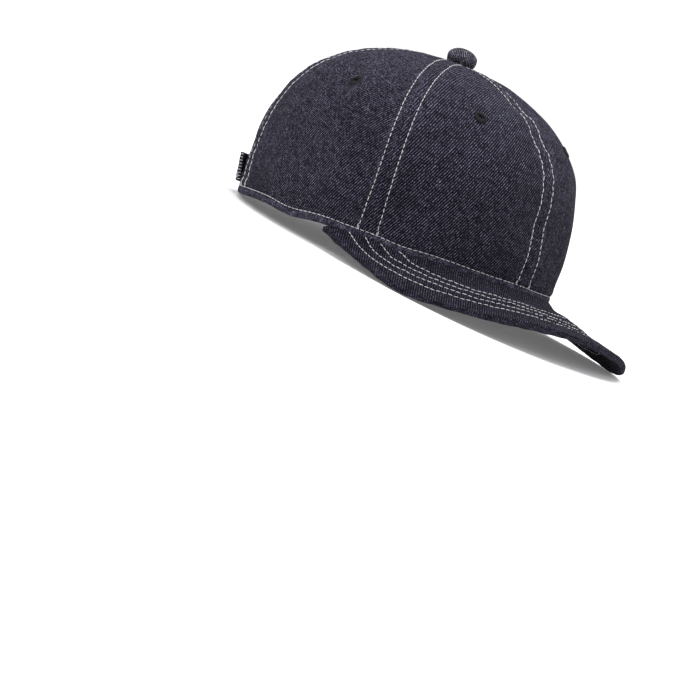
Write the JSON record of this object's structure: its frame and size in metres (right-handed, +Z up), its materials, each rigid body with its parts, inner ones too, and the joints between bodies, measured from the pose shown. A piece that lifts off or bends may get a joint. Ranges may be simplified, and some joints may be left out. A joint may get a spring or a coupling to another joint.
{
  "type": "six-panel cap",
  "caption": "Denim six-panel cap with a curved stitched brim, sewn eyelets, a covered top button and an adjustable back strap over a half-moon opening.",
  "frame": {"origin": "bottom centre of the overall box, on the surface that the brim's sides and the back of the rim rest on", "axes": "+Z up, the brim points to -Y, the wearer's right is -X; the rim plane is tipped back by 6.7 degrees because the cap rests on its brim"},
  "size_m": [0.1838, 0.2576, 0.1283],
  "materials": {
    "denim": "raw dark indigo denim twill with pale topstitching",
    "eyelet_thread": "dark satin-stitched thread",
    "slide_metal": "aged brass-coloured wire"
  },
  "bodies": {
    "root": {"panel_front_right": "denim", "panel_front_left": "denim", "panel_side_right": "denim", "panel_side_left": "denim", "panel_back_right": "denim", "panel_back_left": "denim", "brim": "denim", "top_button": "denim", "back_strap": "denim", "eyelet_front_right": "eyelet_thread", "eyelet_front_left": "eyelet_thread", "eyelet_side_right": "eyelet_thread", "eyelet_side_left": "eyelet_thread", "eyelet_back_right": "eyelet_thread", "eyelet_back_left": "eyelet_thread", "strap_slide": "slide_metal"}
  },
  "joints": []
}
